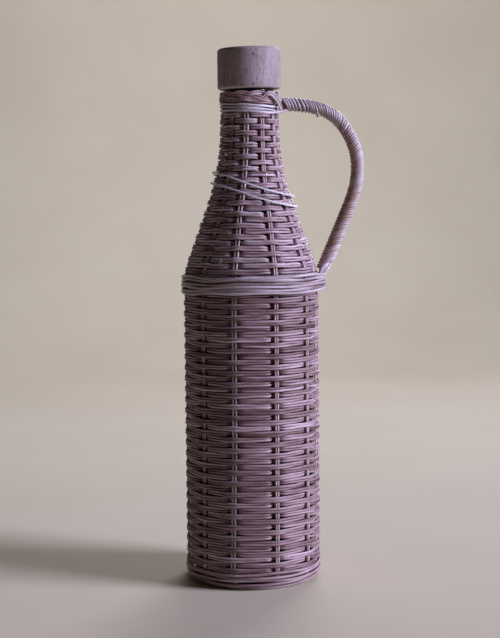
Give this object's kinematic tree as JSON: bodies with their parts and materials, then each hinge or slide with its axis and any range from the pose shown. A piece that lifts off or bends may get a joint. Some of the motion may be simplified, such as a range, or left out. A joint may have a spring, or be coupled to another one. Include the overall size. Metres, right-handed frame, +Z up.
{
  "type": "wicker-covered wine bottle",
  "caption": "Tall glass wine bottle in a woven wicker cover with a cane-wound side handle and a pull-out wooden stopper.",
  "frame": {"origin": "on the bottle's axis, on the plane it stands on", "axes": "+Z up along the bottle's axis, +X from the axis towards the handle, which lies in the XZ plane; the pictured front faces -Y"},
  "size_m": [0.109, 0.0838, 0.3124],
  "materials": {
    "bottle_glass": "smooth dark green glass, hidden but for the lip",
    "cork": "matt agglomerated cork",
    "turned_wood": "satin turned wood with fine upright grain",
    "border_wicker": "matt plaited strands",
    "wicker_strands": "matt woven strands, dusky pink-brown",
    "wicker_stakes": "matt rods",
    "light_cane": "satin pale cane",
    "handle_rod": "matt bent rod",
    "handle_cane": "satin pale cane"
  },
  "bodies": {
    "root": {"glass_bottle": "bottle_glass", "border_ring": "border_wicker", "foot_wale": "wicker_strands", "base_coil": "wicker_strands", "shoulder_band": "light_cane", "neck_binding": "light_cane", "shoulder_tie": "light_cane", "handle_core": "handle_rod", "body_weave_1": "wicker_strands", "body_weave_2": "wicker_strands", "body_weave_3": "wicker_strands", "body_weave_4": "wicker_strands", "body_weave_5": "wicker_strands", "body_weave_6": "wicker_strands", "body_weave_7": "wicker_strands", "shoulder_weave_1": "wicker_strands", "shoulder_weave_2": "wicker_strands", "neck_weave_1": "wicker_strands", "neck_weave_2": "wicker_strands", "stake_pair_01": "wicker_stakes", "stake_pair_02": "wicker_stakes", "stake_pair_03": "wicker_stakes", "stake_pair_04": "wicker_stakes", "stake_pair_05": "wicker_stakes", "stake_pair_06": "wicker_stakes", "stake_pair_07": "wicker_stakes", "stake_pair_08": "wicker_stakes", "stake_pair_09": "wicker_stakes", "stake_pair_10": "wicker_stakes", "stake_pair_11": "wicker_stakes", "stake_pair_12": "wicker_stakes", "handle_wrap_upper": "handle_cane", "handle_wrap_middle": "handle_cane", "handle_wrap_lower": "handle_cane"},
    "stopper": {"stopper_cork": "cork", "stopper_head": "turned_wood"}
  },
  "joints": [
    {"name": "stopper_pull", "type": "slide", "parent": "root", "child": "stopper", "axis": [0, 0, 1], "range_m": [0, 0.05]}
  ]
}
